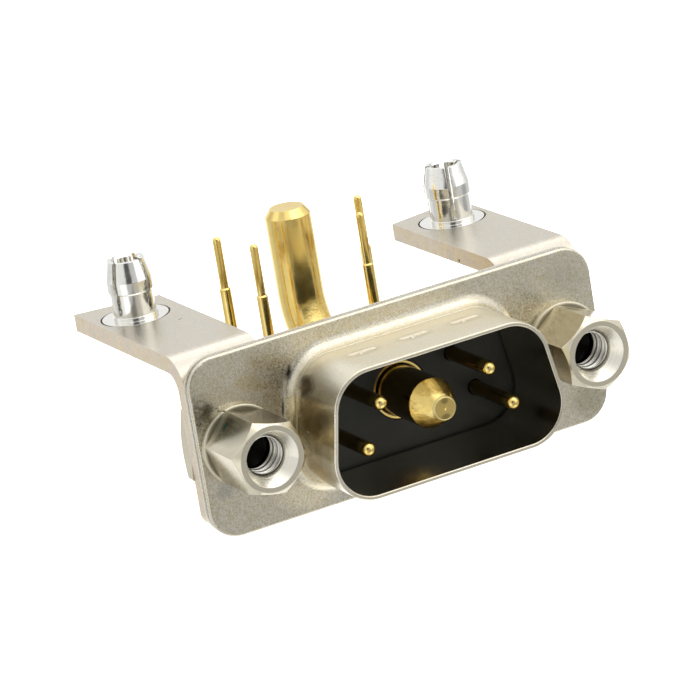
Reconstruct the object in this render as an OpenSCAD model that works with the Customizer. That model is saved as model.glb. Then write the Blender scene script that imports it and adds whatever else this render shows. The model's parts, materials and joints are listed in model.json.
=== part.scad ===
// Right-angle board-mount power plug: a D-shaped plug shell with one thick power pin and four
// signal pins, two angle brackets with split board locks and two hexagonal jackscrews.
// Millimetres. The origin lies on the power tail's axis in the board plane; the mating side
// faces -Y and the board tails point to +Z.

/* [Flanges] */
// How much wider both flanges are than the distance between the jackscrew axes
flange_margin = 5.82; // [5.7:0.01:6.2]
// Height of both flanges, which also puts the feet level with their upper edge
flange_height = 12.55; // [12.3:0.01:13.2]
// Corner radius of both flanges
flange_corner = 2.1; // [1.6:0.1:2.6]
// How much further apart the jackscrew axes are than the skirt's inside width
hole_margin = 8.07; // [8:0.01:8.4]
// Diameter of the jackscrew holes in the flanges and the bracket legs
hole_diameter = 3.2; // [3.15:0.01:3.3]

/* [Front shell] */
// Thickness of the front flange
front_flange_t = 0.4; // [0.35:0.05:0.6]
// Rounding of the front flange's sheared edge
flange_edge = 0.15; // [0.05:0.01:0.25]
// Inside width of the D-shaped skirt, on its wide side
skirt_width = 16.92; // [16.7:0.01:17.1]
// Inside height of the D-shaped skirt
skirt_height = 8.36; // [8.2:0.01:8.6]
// Inside corner radius of the D
skirt_corner = 2.6; // [2.2:0.1:2.9]
// Depth of the skirt in front of the flange
skirt_depth = 6.2; // [5.8:0.05:6.6]
// Wall thickness of the skirt
skirt_wall = 0.3; // [0.25:0.05:0.4]
// Rounding of the skirt's rim
rim_round = 0.1; // [0.04:0.01:0.12]
// Radius of the fillet between the flange and the skirt
root_fillet = 0.8; // [0.5:0.05:1]
// Fine step where the fillet meets the skirt
root_step = 0.05; // [0.02:0.01:0.1]
// Rounding of the flange's inner edge towards the insulator
lip_flare = 0.45; // [0.3:0.05:0.5]
// Distance between the indents of the skirt's narrow side
indent_spacing = 3.9; // [3.2:0.1:4]
// Height of the indents in front of the flange
indent_height = 2.9; // [2.4:0.05:3.6]
// Straight length of an indent
indent_length = 1.5; // [1:0.1:2]
// Radius of an indent's trough
indent_radius = 1; // [0.8:0.05:1.2]
// Depth of an indent
indent_depth = 0.08; // [0.05:0.01:0.1]
// Radius of the pointed pit in the middle of an indent
pit_radius = 0.35; // [0.25:0.05:0.4]
// Depth of that pit below the indent's floor
pit_depth = 0.2; // [0.1:0.01:0.2]

/* [Rear shell] */
// Gap between the two flanges
shell_gap = 0.05; // [0.03:0.01:0.1]
// Thickness of the rear flange
rear_flange_t = 0.35; // [0.3:0.05:0.5]
// Wall thickness of the rear pan
pan_wall = 0.35; // [0.3:0.05:0.4]
// Width of the pan's inward lip behind the insulator
pan_lip = 0.5; // [0.3:0.05:0.55]
// Fillet between the rear flange and the pan
pan_fillet = 0.3; // [0.1:0.05:0.35]
// Rounding of the pan's rear edge
pan_edge = 0.3; // [0.1:0.05:0.33]

/* [Insulators] */
// How far the insulators reach past the inside of the skirt, all round
insulator_overhang = 0.6; // [0.55:0.05:0.7]
// Thickness of the front insulator
front_insulator_t = 1.6; // [1.4:0.05:1.9]
// Thickness of the rear insulator's flange
rear_insulator_t = 1.4; // [1.2:0.05:1.8]
// Length of the rear insulator's body behind its flange
rear_body_length = 3; // [2.8:0.1:3.4]
// Clearance round pieces that slide into each other
fit_clearance = 0.05; // [0.03:0.01:0.08]

/* [Signal contacts] */
// Diameter of the signal pins
pin_diameter = 1; // [0.9:0.05:1.1]
// Reach of the signal pins in front of the flange
pin_reach = 5.24; // [4.9:0.02:5.6]
// Distance between the two rows of signal pins
row_spacing = 2.84; // [2.7:0.02:3]
// Distance between the two pins of the upper row
upper_pitch = 8.31; // [8.1:0.01:8.5]
// Distance between the two pins of the lower row
lower_pitch = 11.08; // [10.9:0.01:11.2]
// Diameter of the collar that the insulators hold
pin_collar_diameter = 1.6; // [1.5:0.05:1.7]
// Length of that collar
pin_collar_length = 1.4; // [1:0.1:1.6]
// Diameter of the contact behind the insulators
shank_diameter = 0.8; // [0.74:0.01:0.84]
// How much the upright shank narrows towards its shoulder
shank_taper = 0.02; // [0.01:0.01:0.04]
// Diameter of the thin end of the board tail
tail_diameter = 0.58; // [0.5:0.01:0.64]
// Length of the thin board tail from its shoulder to its tip
tail_length = 3.77; // [3.5:0.01:4]
// Reach of the front row of tails past the board plane
front_tail_reach = 3.28; // [3:0.01:3.5]
// How much further the rear row of tails reaches
rear_row_rise = 0.39; // [0:0.01:0.5]
// How far the rear row of tails stands behind the power tail
rear_row_offset = 0.14; // [0:0.01:0.4]
// Distance between the two rows of tails
tail_row_pitch = 2.84; // [2.54:0.02:3]
// Bend radius of the signal contacts, on the centre line
signal_bend = 1.5; // [1.2:0.1:1.8]

/* [Power contact] */
// Diameter of the power pin
power_diameter = 3.45; // [3.3:0.05:3.6]
// Diameter of its flat nose
power_nose = 1.74; // [1.4:0.02:2]
// Length of its cone
power_cone = 1.85; // [1.5:0.05:2.2]
// Reach of the power pin in front of the flange
power_reach = 5.83; // [5.6:0.01:6]
// Bevel round the flat nose
nose_bevel = 0.08; // [0.03:0.01:0.12]
// Radius of the turning centre in the nose
centre_radius = 0.12; // [0.08:0.01:0.2]
// Diameter of the shoulder in the insulator's bore
power_shoulder = 4; // [3.9:0.02:4.1]
// Depth of that shoulder below the insulator's face
power_recess = 0.1; // [0.05:0.05:0.3]
// Width of the relief groove between the pin and that shoulder
relief_width = 0.12; // [0.08:0.01:0.14]
// Depth of that groove
relief_depth = 0.3; // [0.1:0.05:0.4]
// Diameter of the groove that holds the retaining clip
groove_diameter = 3; // [2.8:0.05:3.1]
// Length of that groove
groove_length = 1.8; // [1.5:0.05:2]
// Diameter of the collar behind the rear insulator
power_collar = 5; // [4.8:0.05:5.2]
// Thickness of that collar
power_collar_t = 0.8; // [0.6:0.05:1]
// Diameter of the board tail
power_tail_diameter = 3.2; // [3:0.05:3.3]
// Bend radius on the centre line
power_bend = 4.5; // [4:0.1:4.8]
// Reach of the power tail past the board plane
power_tail_reach = 4.35; // [4:0.05:4.6]
// Width of the bevel at the tail's end
power_bevel = 0.4; // [0.2:0.02:0.5]
// Height of that bevel
power_bevel_height = 0.55; // [0.3:0.05:0.7]
// Depth of the power tail's axis behind the flange's front face
tail_depth = 13.6; // [13.4:0.01:13.8]
// Sheet thickness of the retaining clip
clip_t = 0.25; // [0.2:0.01:0.3]
// Width of the clip's slit
clip_slit = 0.6; // [0.4:0.05:0.8]
// Radial room round the clip in its pocket
clip_room = 0.4; // [0.35:0.01:0.45]

/* [Brackets] */
// Width of the brackets
bracket_width = 6; // [5.8:0.05:6.1]
// Distance of the brackets' outer edges from the flange's ends
bracket_inset = 0.15; // [0:0.05:0.2]
// Sheet thickness of the brackets
bracket_t = 1.2; // [1:0.05:1.3]
// Inside bend radius of the brackets
bracket_bend = 1.2; // [0.9:0.05:1.3]
// Reach of the legs below the jackscrew axes
leg_drop = 5.58; // [5.2:0.02:5.9]
// Corner radius at the lower end of the legs
leg_corner = 1; // [0.5:0.1:1.6]
// Reach of the feet behind the board locks' axes
foot_margin = 3.65; // [3.2:0.05:4.2]
// Slant of the feet's rear edge
foot_slant = 11.5; // [0:0.5:14]
// Room between the legs and the rear shell's pan
leg_clearance = 0.1; // [0.05:0.01:0.15]

/* [Board locks] */
// How far the board locks stand behind the power tail
lock_offset = 0; // [-0.2:0.05:0.2]
// Diameter of the base that is set flush in the foot
lock_base = 4.6; // [4.4:0.05:4.7]
// Thickness of that base
lock_base_t = 0.6; // [0.5:0.05:0.7]
// Gap round the base
lock_base_gap = 0.12; // [0.06:0.01:0.14]
// Diameter of the barrel
lock_barrel = 3; // [2.9:0.02:3.04]
// Bore of the barrel
lock_bore = 1.7; // [1.5:0.05:1.9]
// Diameter of the small collar at the barrel's foot
lock_collar = 3.18; // [3.1:0.02:3.2]
// Height of that collar
lock_collar_height = 0.25; // [0.15:0.05:0.35]
// Diameter of the bulge that snaps behind the board
lock_bulge = 3.26; // [3.2:0.02:3.34]
// Height of the bulge's lower edge
lock_bulge_low = 1.95; // [1.8:0.05:2.1]
// Height of the bulge's upper edge
lock_bulge_high = 2.7; // [2.5:0.05:2.9]
// Height of the slope below the bulge
lock_bulge_slope = 0.12; // [0.05:0.01:0.2]
// Diameter at the top
lock_top = 2.6; // [2.4:0.02:2.7]
// Height of the top
lock_height = 4.1; // [3.9:0.05:4.3]
// Bevel of the top's inner edge
lock_mouth = 0.15; // [0.05:0.01:0.2]
// Width of the slots between the prongs
lock_slot = 0.32; // [0.26:0.02:0.4]
// Height of the slots' floor
lock_slot_floor = 0.4; // [0.36:0.02:0.5]
// Diameter of the swaged end below the base
lock_swage = 3.7; // [3.5:0.05:3.8]
// Height of the swaged cone
lock_swage_height = 0.3; // [0.2:0.02:0.35]
// Turn of the left board lock's slots
lock_turn_left = 28; // [0:1:90]
// Turn of the right board lock's slots
lock_turn_right = 71; // [0:1:90]

/* [Jackscrews] */
// Width across the flats of the hexagon
hex_flats = 4.75; // [4.65:0.01:4.9]
// Length of the hexagon
hex_length = 4.45; // [4.2:0.05:4.7]
// Diameter of the flat ring inside the hexagon's bevel
hex_face = 4.55; // [4.4:0.05:4.6]
// Slope of the hexagon's bevel
hex_bevel_angle = 45; // [25:1:50]
// Wall diameter of the threaded hole
thread_diameter = 2.84; // [2.7:0.01:3]
// Depth of the full thread
thread_depth = 2.7; // [2.4:0.05:3]
// Diameter of the countersink
sink_diameter = 3.8; // [3.6:0.05:4]
// Depth of the countersink
sink_depth = 1; // [0.7:0.05:1.1]
// Point angle of the drilled hole's floor
drill_angle = 118; // [90:1:140]
// Diameter of the stud behind the hexagon
stud_diameter = 2.4; // [2.3:0.01:2.45]
// Reach of the stud past the nut
stud_over = 0.6; // [0.3:0.05:0.9]
// Bevel of the stud's end
stud_bevel = 0.25; // [0.1:0.05:0.3]
// Turn of the left hexagon
hex_turn_left = -13.6; // [-30:0.1:30]
// Turn of the right hexagon
hex_turn_right = -22.3; // [-30:0.1:30]

/* [Lock washers and nuts] */
// Outside diameter of the lock washers
washer_diameter = 5.55; // [5.3:0.05:5.7]
// Bore of the lock washers
washer_bore = 3.2; // [3.15:0.01:3.25]
// Thickness of the lock washers
washer_t = 0.5; // [0.4:0.05:0.7]
// Rounding of the lock washers' outer edge
washer_edge = 0.12; // [0.05:0.01:0.15]
// Width of a lock washer's slit
washer_slit = 0.12; // [0.08:0.01:0.3]
// Lean of that slit
washer_slit_lean = 25; // [0:1:35]
// Place of the slit round the left washer
washer_turn_left = 110; // [-180:1:180]
// Place of the slit round the right washer
washer_turn_right = -60; // [-180:1:180]
// Width across the flats of the square nuts
nut_flats = 5.4; // [5.2:0.05:5.5]
// Thickness of the square nuts
nut_t = 1.2; // [1:0.05:1.5]
// Diameter of the flat ring inside the nuts' bevel
nut_face = 5.4; // [5.2:0.05:5.8]
// Slope of the nuts' bevel
nut_bevel_angle = 30; // [15:1:35]
// Bore of the square nuts, round the stud's thread
nut_bore = 2.5; // [2.48:0.01:2.53]
// Diameter that blunts the nuts' corners
nut_blunt = 7.2; // [6.8:0.05:7.5]
// Turn of the nuts
nut_turn = 4; // [0:1:6]

/* [Hidden] */
$fn = 64;
// how far cutting bodies reach past what they cut
over = 1;
// small overlap of neighbouring bodies that make one piece
joint = 0.3;
// colours of the finishes
nickel = [0.72, 0.70, 0.66];
bright_tin = [0.82, 0.82, 0.80];
gold = [0.85, 0.62, 0.22];
black = [0.06, 0.06, 0.06];
spring_bronze = [0.70, 0.52, 0.30];
// mating axis below the board plane: the feet are level with the flange's upper edge
axis_drop = flange_height / 2;
// the jackscrews keep their distance from the skirt, and the flanges' ends theirs from the jackscrews
hole_spacing = skirt_width + hole_margin;
flange_width = hole_spacing + flange_margin;
hole_x = hole_spacing / 2;
// depths behind the flange's front face
rear_flange_front = front_flange_t + shell_gap;
leg_front = rear_flange_front + rear_flange_t;
leg_back = leg_front + bracket_t;
insulator_face = front_flange_t;
insulator_split = insulator_face + front_insulator_t;
insulator_back = insulator_split + rear_insulator_t;
pan_back = insulator_back + pan_wall;
body_back = insulator_back + rear_body_length;
// offsets from the inside of the skirt
pan_inside = insulator_overhang + fit_clearance;
pan_outside = pan_inside + pan_wall;
pan_opening = pan_inside - pan_lip;
body_offset = pan_opening - fit_clearance;
root_width = skirt_wall + root_step + root_fillet;
plate_opening = (lip_flare + root_width) / 2;
leg_relief = pan_outside + pan_fillet + leg_clearance;
// slope of the D's short sides
skirt_angle = 10.247;
// D outline: corner centres with the directions where each corner arc starts and ends
low_x = skirt_width / 2 - skirt_corner;
low_y = skirt_corner - skirt_height / 2;
high_y = -low_y;
high_x = low_x - (high_y - low_y) * tan(skirt_angle);
side_run = (high_y - low_y) / cos(skirt_angle);
d_corners = [
    [low_x, low_y, -90, skirt_angle],
    [high_x, high_y, skirt_angle, 90],
    [-high_x, high_y, 90, 180 - skirt_angle],
    [-low_x, low_y, 180 - skirt_angle, 270]
];
// flange outline in the same form
flange_x = flange_width / 2 - flange_corner;
flange_y = flange_height / 2 - flange_corner;
flange_corners = [
    [flange_x, -flange_y, -90, 0],
    [flange_x, flange_y, 0, 90],
    [-flange_x, flange_y, 90, 180],
    [-flange_x, -flange_y, 180, 270]
];
flange_rim = flange_corner / 2;
// indents of the skirt's narrow side
skirt_top = skirt_height / 2 + skirt_wall;
indent_axis = skirt_top + indent_radius - indent_depth;
// signal contacts
rear_row_depth = tail_depth + rear_row_offset;
front_row_depth = rear_row_depth - tail_row_pitch;
rear_tail_reach = front_tail_reach + rear_row_rise;
signal_bore = pin_diameter + 2 * fit_clearance;
shank_bore = shank_diameter + 2 * fit_clearance;
shank_top = shank_diameter - shank_taper;
pin_pocket = pin_collar_diameter + 2 * fit_clearance;
// power contact
power_bore = power_shoulder + 2 * fit_clearance;
groove_front = insulator_split + (front_insulator_t - power_recess) / 4;
groove_back = groove_front + groove_length;
clip_pocket = power_shoulder + 2 * clip_room;
clip_inside = groove_diameter / 2 + fit_clearance;
clip_outside = clip_pocket / 2 - fit_clearance;
power_straight_end = tail_depth - power_bend;
power_end = power_tail_diameter - 2 * power_bevel;
// brackets
foot_inside = flange_width / 2 - bracket_inset - bracket_width;
bend_outside = bracket_bend + bracket_t;
lock_depth = tail_depth + lock_offset;
foot_depth = lock_depth + foot_margin;
foot_reach = foot_depth + bracket_width * tan(foot_slant);
lock_seat = lock_base + 2 * lock_base_gap;
lock_shank = lock_swage - 2 * lock_swage_height;
lock_hole = lock_shank + 2 * fit_clearance;
// jackscrews
hex_corners = hex_flats / cos(30);
hex_front = washer_t + hex_length;
hex_bevel = (hex_corners - hex_face) / 2 * tan(hex_bevel_angle);
drill_tip = thread_diameter / 2 / tan(drill_angle / 2);
stud_end = leg_back + nut_t + stud_over;
stud_tip = stud_diameter - 2 * stud_bevel;
nut_bevel = (nut_blunt - nut_face) / 2 * tan(nut_bevel_angle);

// mating axis on the flange's front face: +Y rearward, +Z towards the board
module at_axis() {
    translate([0, -tail_depth, -axis_drop])
        children();
}

// the same point with the plane of the flange flat: local Y towards the board, local Z forward
module at_face() {
    at_axis()
        rotate([90, 0, 0])
            children();
}

// the same point with local Z rearward, for round pieces drawn by depth
module at_depth() {
    at_axis()
        rotate([-90, 0, 0])
            children();
}

// flat outline of arcs and straights
module outline(corners, radius) {
    polygon([for (c = corners) for (a = [c[2], c[3]]) [c[0] + radius * cos(a), c[1] + radius * sin(a)]]);
    for (c = corners)
        translate([c[0], c[1]])
            circle(radius);
}

// sweeps a profile round such an outline: profile X is outward, profile Y is forward
module sweep(corners, radius) {
    for (i = [0 : len(corners) - 1]) {
        here = corners[i];
        next = corners[(i + 1) % len(corners)];
        run = norm([next[0] - here[0], next[1] - here[1]]);
        translate([here[0], here[1], 0])
            rotate([0, 0, here[2]])
                rotate_extrude(angle = here[3] - here[2])
                    translate([radius, 0])
                        children();
        translate([here[0], here[1], 0])
            rotate([0, 0, here[3]])
                translate([radius, run, 0])
                    rotate([90, 0, 0])
                        linear_extrude(run)
                            children();
    }
}

// sweeps a profile round the right half of the D, from the middle below to just past the middle above
module d_half() {
    translate([low_x, low_y, 0]) {
        rotate([0, 0, -90]) {
            translate([skirt_corner, 0, 0])
                rotate([90, 0, 0])
                    linear_extrude(low_x)
                        children();
            rotate_extrude(angle = 90 + skirt_angle)
                translate([skirt_corner, 0])
                    children();
        }
        rotate([0, 0, skirt_angle]) {
            translate([skirt_corner, side_run, 0])
                rotate([90, 0, 0])
                    linear_extrude(side_run)
                        children();
            translate([0, side_run, 0]) {
                rotate_extrude(angle = 90 - skirt_angle)
                    translate([skirt_corner, 0])
                        children();
                rotate([0, 0, 90 - skirt_angle])
                    translate([skirt_corner, high_x + joint, 0])
                        rotate([90, 0, 0])
                            linear_extrude(high_x + joint)
                                children();
            }
        }
    }
}

// sweeps a profile round the whole D
module d_sweep() {
    d_half()
        children();
    mirror([1, 0, 0])
        d_half()
            children();
}

// what a convex quarter round of radius r takes off the corner at the profile's origin,
// for material in the quadrant given by the signs sx and sy
module round_off(r, sx, sy) {
    difference() {
        translate([sx < 0 ? -r : -joint, sy < 0 ? -r : -joint])
            square(r + joint);
        translate([sx * r, sy * r])
            circle(r);
    }
}

// what a concave fillet of radius r adds in the quadrant given by the signs sx and sy
module fillet(r, sx, sy) {
    difference() {
        translate([sx < 0 ? -r : 0, sy < 0 ? -r : 0])
            square(r);
        translate([sx * r, sy * r])
            circle(r);
    }
}

module jackscrew_holes(front, back) {
    for (side = [-1, 1])
        translate([side * hole_x, 0, -back - over])
            cylinder(h = back - front + 2 * over, d = hole_diameter);
}

// section of the drawn skirt: wall, rim, root fillet and the flared inner edge
module skirt_profile() {
    difference() {
        union() {
            translate([0, -front_flange_t])
                square([skirt_wall, front_flange_t + skirt_depth]);
            translate([0, -front_flange_t])
                square([root_width, front_flange_t]);
            square([skirt_wall + root_step, root_fillet]);
            translate([skirt_wall + root_step, 0])
                fillet(root_fillet, 1, 1);
        }
        translate([0, -front_flange_t])
            round_off(lip_flare, 1, 1);
        translate([0, skirt_depth])
            round_off(rim_round, 1, -1);
        translate([skirt_wall, skirt_depth])
            round_off(rim_round, -1, -1);
    }
}

// section of the front flange's outer edge
module flange_rim_profile() {
    difference() {
        translate([-flange_rim, -front_flange_t])
            square([flange_rim, front_flange_t]);
        round_off(flange_edge, -1, -1);
    }
}

// long trough with round ends, along the skirt's upper side
module indent_body(radius) {
    translate([-indent_length / 2, indent_axis, indent_height])
        rotate([0, 90, 0])
            cylinder(h = indent_length, r = radius);
    for (end = [-1, 1])
        translate([end * indent_length / 2, indent_axis, indent_height])
            sphere(radius);
}

module indent_bump() {
    intersection() {
        indent_body(indent_radius + skirt_wall);
        translate([-skirt_width / 2, 0, 0])
            cube([skirt_width, skirt_top - skirt_wall / 2, skirt_depth]);
    }
}

module indent_pit() {
    translate([0, skirt_top - indent_depth - pit_depth, indent_height])
        rotate([-90, 0, 0])
            cylinder(h = pit_depth + indent_depth, r1 = 0, r2 = pit_radius);
}

module front_shell() {
    color(nickel)
        at_face()
            difference() {
                union() {
                    translate([0, 0, -front_flange_t])
                        linear_extrude(front_flange_t)
                            difference() {
                                outline(flange_corners, flange_corner - flange_rim / 2);
                                outline(d_corners, skirt_corner + plate_opening);
                            }
                    sweep(flange_corners, flange_corner)
                        flange_rim_profile();
                    d_sweep()
                        skirt_profile();
                    for (i = [-1 : 1])
                        translate([i * indent_spacing, 0, 0])
                            indent_bump();
                }
                jackscrew_holes(0, front_flange_t);
                for (i = [-1 : 1])
                    translate([i * indent_spacing, 0, 0]) {
                        indent_body(indent_radius);
                        indent_pit();
                    }
            }
}

// section of the rear shell's pan: flange root, wall and inward lip
module pan_profile() {
    difference() {
        union() {
            translate([pan_inside, -pan_back])
                square([pan_wall, pan_back - rear_flange_front]);
            translate([pan_opening, -pan_back])
                square([pan_lip + pan_wall, pan_wall]);
            translate([pan_inside, -leg_front])
                square([pan_wall + pan_fillet, rear_flange_t]);
            translate([pan_outside, -leg_front])
                fillet(pan_fillet, 1, -1);
        }
        translate([pan_outside, -pan_back])
            round_off(pan_edge, -1, 1);
    }
}

module rear_shell() {
    color(nickel)
        at_face()
            difference() {
                union() {
                    translate([0, 0, -leg_front])
                        linear_extrude(rear_flange_t)
                            difference() {
                                outline(flange_corners, flange_corner);
                                outline(d_corners, skirt_corner + pan_outside);
                            }
                    d_sweep()
                        pan_profile();
                }
                jackscrew_holes(rear_flange_front, leg_front);
            }
}

module each_signal() {
    for (side = [-1, 1]) {
        translate([side * upper_pitch / 2, row_spacing / 2, 0])
            children();
        translate([side * lower_pitch / 2, -row_spacing / 2, 0])
            children();
    }
}

module front_insulator() {
    color(black)
        at_face()
            difference() {
                translate([0, 0, -insulator_split])
                    linear_extrude(front_insulator_t)
                        outline(d_corners, skirt_corner + insulator_overhang);
                translate([0, 0, -insulator_split - over])
                    cylinder(h = front_insulator_t + 2 * over, d = power_bore);
                each_signal() {
                    translate([0, 0, -insulator_split - over])
                        cylinder(h = front_insulator_t + 2 * over, d = signal_bore);
                    translate([0, 0, -insulator_split - over])
                        cylinder(h = pin_collar_length / 2 + over, d = pin_pocket);
                }
            }
}

module rear_insulator() {
    color(black)
        at_face()
            difference() {
                union() {
                    translate([0, 0, -insulator_back])
                        linear_extrude(rear_insulator_t)
                            outline(d_corners, skirt_corner + insulator_overhang);
                    translate([0, 0, -body_back])
                        linear_extrude(rear_body_length + joint)
                            outline(d_corners, skirt_corner + body_offset);
                }
                translate([0, 0, -body_back - over])
                    cylinder(h = body_back - insulator_split + 2 * over, d = power_bore);
                translate([0, 0, -groove_back])
                    cylinder(h = groove_back - insulator_split + over, d = clip_pocket);
                each_signal() {
                    translate([0, 0, -body_back - over])
                        cylinder(h = body_back - insulator_split + 2 * over, d = shank_bore);
                    translate([0, 0, -insulator_split - pin_collar_length / 2])
                        cylinder(h = pin_collar_length / 2 + over, d = pin_pocket);
                }
            }
}

// right-angle bend in the plane of the board tails, from rearward to upward; its start is at the origin
module bend(radius, diameter) {
    translate([0, 0, radius])
        rotate([90, 0, 90])
            rotate([0, 0, -90])
                rotate_extrude(angle = 90)
                    translate([radius, 0])
                        circle(d = diameter);
}

// pin, collar and bent shank of one signal contact
module signal_contact(x, z, depth, reach) {
    tip = pin_diameter / 2;
    end = tail_diameter / 2;
    top = axis_drop - z + reach;
    shoulder = top - tail_length;
    taper = (shank_top - tail_diameter) / 2;
    color(gold)
        at_axis()
            translate([x, 0, z]) {
                translate([0, tip - pin_reach, 0])
                    sphere(tip);
                translate([0, tip - pin_reach, 0])
                    rotate([-90, 0, 0])
                        cylinder(h = pin_reach - tip + insulator_split, r = tip);
                translate([0, insulator_split - pin_collar_length / 2, 0])
                    rotate([-90, 0, 0])
                        cylinder(h = pin_collar_length, d = pin_collar_diameter);
                translate([0, insulator_split, 0])
                    rotate([-90, 0, 0])
                        cylinder(h = depth - signal_bend - insulator_split, d = shank_diameter);
                translate([0, depth - signal_bend, 0])
                    bend(signal_bend, shank_diameter);
                translate([0, depth, signal_bend])
                    cylinder(h = shoulder - signal_bend, d1 = shank_diameter, d2 = shank_top);
                translate([0, depth, shoulder])
                    cylinder(h = taper, d1 = shank_top, d2 = tail_diameter);
                translate([0, depth, shoulder])
                    cylinder(h = tail_length - end, d = tail_diameter);
                translate([0, depth, top - end])
                    sphere(end);
            }
}

module signal_upper_left() {
    signal_contact(-upper_pitch / 2, row_spacing / 2, front_row_depth, front_tail_reach);
}

module signal_upper_right() {
    signal_contact(upper_pitch / 2, row_spacing / 2, front_row_depth, front_tail_reach);
}

module signal_lower_left() {
    signal_contact(-lower_pitch / 2, -row_spacing / 2, rear_row_depth, rear_tail_reach);
}

module signal_lower_right() {
    signal_contact(lower_pitch / 2, -row_spacing / 2, rear_row_depth, rear_tail_reach);
}

// turned part of the power contact, by depth
module power_turning() {
    rotate_extrude()
        polygon([
            [0, centre_radius - power_reach],
            [centre_radius, -power_reach],
            [power_nose / 2 - nose_bevel, -power_reach],
            [power_nose / 2, nose_bevel - power_reach],
            [power_diameter / 2, power_cone - power_reach],
            [power_diameter / 2, insulator_face + power_recess + relief_depth],
            [power_diameter / 2 + relief_width, insulator_face + power_recess + relief_depth],
            [power_diameter / 2 + relief_width, insulator_face + power_recess],
            [power_shoulder / 2, insulator_face + power_recess],
            [power_shoulder / 2, groove_front],
            [groove_diameter / 2, groove_front],
            [groove_diameter / 2, groove_back],
            [power_shoulder / 2, groove_back],
            [power_shoulder / 2, body_back],
            [power_collar / 2, body_back],
            [power_collar / 2, body_back + power_collar_t],
            [power_tail_diameter / 2, body_back + power_collar_t],
            [power_tail_diameter / 2, power_straight_end],
            [0, power_straight_end]
        ]);
}

module power_contact() {
    bevel_base = axis_drop + power_tail_reach - power_bevel_height;
    color(gold) {
        at_depth()
            power_turning();
        at_axis() {
            translate([0, power_straight_end, 0])
                bend(power_bend, power_tail_diameter);
            translate([0, tail_depth, power_bend])
                cylinder(h = bevel_base - power_bend, d = power_tail_diameter);
            translate([0, tail_depth, bevel_base])
                cylinder(h = power_bevel_height, d1 = power_tail_diameter, d2 = power_end);
        }
    }
}

// slotted spring sleeve in the power contact's groove, flared against the pocket's floor
module retaining_clip() {
    color(spring_bronze)
        at_depth()
            difference() {
                rotate_extrude()
                    polygon([
                        [clip_inside, groove_front],
                        [clip_inside + clip_t, groove_front],
                        [clip_outside, groove_back],
                        [clip_outside - clip_t, groove_back]
                    ]);
                translate([-clip_slit / 2, 0, groove_front - over])
                    cube([clip_slit, clip_pocket, groove_length + 2 * over]);
            }
}

// bent section of a bracket: depth along X, height along Y
module bracket_section() {
    difference() {
        union() {
            translate([leg_front, -leg_drop])
                square([bracket_t, leg_drop + axis_drop]);
            translate([leg_front, axis_drop - bracket_t])
                square([foot_reach - leg_front, bracket_t]);
            translate([leg_back, axis_drop - bracket_t])
                fillet(bracket_bend, 1, -1);
        }
        translate([leg_front, axis_drop])
            round_off(bend_outside, 1, -1);
    }
}

// front outline of a bracket with rounded lower corners
module bracket_front() {
    far = foot_inside + bracket_width;
    translate([foot_inside, leg_corner - leg_drop])
        square([bracket_width, leg_drop + axis_drop]);
    translate([foot_inside + leg_corner, -leg_drop])
        square([bracket_width - 2 * leg_corner, leg_corner + joint]);
    for (x = [foot_inside + leg_corner, far - leg_corner])
        translate([x, leg_corner - leg_drop])
            circle(leg_corner);
}

module bracket() {
    intersection() {
        translate([foot_inside, 0, 0])
            rotate([90, 0, 90])
                linear_extrude(bracket_width)
                    bracket_section();
        rotate([90, 0, 0])
            translate([0, 0, -foot_reach - over])
                linear_extrude(foot_reach + 2 * over)
                    bracket_front();
    }
}

module bracket_cuts() {
    rotate([90, 0, 0]) {
        jackscrew_holes(leg_front, leg_back);
        translate([0, 0, -leg_back - over])
            linear_extrude(bracket_t + 2 * over)
                outline(d_corners, skirt_corner + leg_relief);
    }
    translate([hole_x, foot_depth, 0])
        rotate([0, 0, foot_slant])
            translate([-flange_width, 0, 0])
                cube([2 * flange_width, flange_width, axis_drop + over]);
    translate([hole_x, lock_depth, axis_drop]) {
        translate([0, 0, -lock_base_t])
            cylinder(h = lock_base_t + over, d = lock_seat);
        translate([0, 0, -bracket_t - over])
            cylinder(h = bracket_t + over, d = lock_hole);
        translate([0, 0, -bracket_t])
            cylinder(h = lock_swage_height, d1 = lock_swage + 2 * fit_clearance, d2 = lock_hole);
    }
}

module bracket_right() {
    color(nickel)
        at_axis()
            difference() {
                bracket();
                bracket_cuts();
            }
}

module bracket_left() {
    mirror([1, 0, 0])
        bracket_right();
}

// turned body of a board lock, by height above the board plane
module lock_turning() {
    rotate_extrude()
        polygon([
            [lock_bore / 2, -bracket_t],
            [lock_swage / 2, -bracket_t],
            [lock_shank / 2, lock_swage_height - bracket_t],
            [lock_shank / 2, -lock_base_t],
            [lock_base / 2, -lock_base_t],
            [lock_base / 2, 0],
            [lock_collar / 2, 0],
            [lock_collar / 2, lock_collar_height],
            [lock_barrel / 2, lock_collar_height],
            [lock_barrel / 2, lock_bulge_low - lock_bulge_slope],
            [lock_bulge / 2, lock_bulge_low],
            [lock_bulge / 2, lock_bulge_high],
            [lock_top / 2, lock_height],
            [lock_bore / 2 + lock_mouth, lock_height],
            [lock_bore / 2, lock_height - lock_mouth]
        ]);
}

module board_lock(side, turn) {
    color(bright_tin)
        translate([side * hole_x, lock_offset, 0])
            rotate([0, 0, turn])
                difference() {
                    lock_turning();
                    for (a = [0, 90])
                        rotate([0, 0, a])
                            translate([-lock_bulge, -lock_slot / 2, lock_slot_floor])
                                cube([2 * lock_bulge, lock_slot, lock_height]);
                }
}

module board_lock_left() {
    board_lock(-1, lock_turn_left);
}

module board_lock_right() {
    board_lock(1, lock_turn_right);
}

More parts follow.
